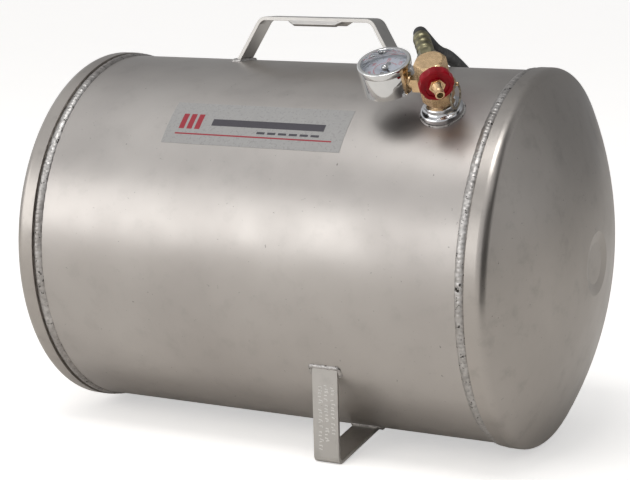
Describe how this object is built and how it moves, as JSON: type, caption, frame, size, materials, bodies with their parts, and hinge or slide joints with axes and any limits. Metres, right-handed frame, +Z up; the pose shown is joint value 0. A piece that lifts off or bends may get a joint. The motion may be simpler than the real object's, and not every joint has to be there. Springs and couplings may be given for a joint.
{
  "type": "air_receiver_tank",
  "caption": "Portable welded aluminium air tank with dished heads, strip handle and feet, hex brass manifold with gauge, shut-off and fill valve, relief valve and a rubber hose with tyre chuck.",
  "frame": {"origin": "on the floor under the middle of the tank, the centre of the bottom of its bounding box without the hose", "axes": "+X along the tank towards the manifold end, +Z up, the manifold, label and single foot face -Y"},
  "size_m": [0.4904, 0.4455, 0.3475],
  "materials": {
    "mill_aluminium": "satin mill finish",
    "weld_aluminium": "as-welded, rippled",
    "turned_aluminium": "turned, polished",
    "label_vinyl": "printed film",
    "brass": "satin",
    "nickel_brass": "satin nickel plate",
    "red_knob": "glossy red",
    "seal_rubber": "matt",
    "spring_steel": "bright",
    "nickel_wire": "bright",
    "chrome_case": "polished",
    "gauge_lens": "clear",
    "dial_white": "printed",
    "needle_black": "satin",
    "zinc_steel": "yellow zinc plate",
    "hose_rubber": "matt"
  },
  "bodies": {
    "tank": {"bonnet_nut": "brass", "boss_weld": "weld_aluminium", "bourdon_tube": "brass", "chuck_body": "nickel_brass", "chuck_pin": "brass", "chuck_seal": "seal_rubber", "dial_screws": "spring_steel", "foot_front": "mill_aluminium", "foot_rear_left": "mill_aluminium", "foot_rear_right": "mill_aluminium", "foot_welds": "weld_aluminium", "gauge_bezel": "chrome_case", "gauge_case": "chrome_case", "gauge_dial": "dial_white", "gauge_lens": "gauge_lens", "gauge_socket": "brass", "girth_weld_left": "weld_aluminium", "girth_weld_right": "weld_aluminium", "handle": "mill_aluminium", "handle_welds": "weld_aluminium", "hose": "hose_rubber", "hose_coil": "hose_rubber", "hose_ferrule": "zinc_steel", "hose_fitting": "zinc_steel", "hose_tail": "hose_rubber", "label": "label_vinyl", "left_head": "mill_aluminium", "long_seam_weld": "weld_aluminium", "manifold_body": "brass", "movement_frame": "brass", "packing_ring": "seal_rubber", "port_boss": "turned_aluminium", "relief_body": "brass", "relief_spring": "spring_steel", "right_head": "mill_aluminium", "shell": "mill_aluminium", "tail_ferrule": "zinc_steel"},
    "valve_disc": {"disc_holder": "brass", "seat_disc": "seal_rubber"},
    "valve_wheel": {"valve_spindle": "brass", "valve_knob": "red_knob", "knob_nut": "brass", "fill_core": "brass", "fill_spring": "spring_steel"},
    "fill_pin": {"fill_pin": "spring_steel"},
    "relief_stem": {"relief_stem": "brass", "relief_seal": "seal_rubber"},
    "pull_ring": {"pull_ring": "nickel_wire"},
    "sector": {"sector_gear": "brass"},
    "needle": {"gauge_needle": "needle_black", "pinion_arbor": "spring_steel"},
    "link": {"gauge_link": "brass"}
  },
  "joints": [
    {"name": "disc_slide", "type": "slide", "parent": "tank", "child": "valve_disc", "axis": [0.5, -0.705, -0.5029], "range_m": [0, 0.00225]},
    {"name": "knob_turn", "type": "hinge", "parent": "valve_disc", "child": "valve_wheel", "pos_m": [0.146, -0.11266, 0.31544], "axis": [0.5, -0.705, -0.5029], "range_deg": [0, 540]},
    {"name": "fill_pin_push", "type": "slide", "parent": "valve_wheel", "child": "fill_pin", "axis": [-0.5, 0.705, 0.5029], "range_m": [0, 0.0012], "stiffness_N_per_m": 500, "springref_m": -0.001, "deforming": ["fill_spring"]},
    {"name": "relief_lift", "type": "slide", "parent": "tank", "child": "relief_stem", "axis": [1, 0, 0], "range_m": [0, 0.0015], "stiffness_N_per_m": 2000, "springref_m": -0.002, "deforming": ["relief_spring"]},
    {"name": "ring_swing", "type": "hinge", "parent": "relief_stem", "child": "pull_ring", "pos_m": [0.1629, -0.10453, 0.30404], "axis": [0, -1, 0], "range_deg": [0, 100]},
    {"name": "sector_turn", "type": "hinge", "parent": "tank", "child": "sector", "pos_m": [0.1175, -0.10699, 0.30839], "axis": [0, -0.4924, 0.8704], "range_deg": [0, 45], "stiffness_Nm_per_rad": 0.005, "springref_deg": -5.73},
    {"name": "needle_turn", "type": "hinge", "parent": "tank", "child": "needle", "pos_m": [0.107, -0.10847, 0.311], "axis": [0, 0.4924, -0.8704], "range_deg": [0, 270]},
    {"name": "link_turn", "type": "hinge", "parent": "sector", "child": "link", "pos_m": [0.12, -0.10401, 0.31192], "axis": [0, -0.4924, 0.8704], "range_deg": [-45, 0]}
  ],
  "couplings": [
    {"joint": "knob_turn", "follows": "disc_slide", "rad_per_m": 4188.8},
    {"joint": "needle_turn", "follows": "sector_turn", "ratio": 6},
    {"joint": "link_turn", "follows": "sector_turn", "ratio": -1}
  ]
}
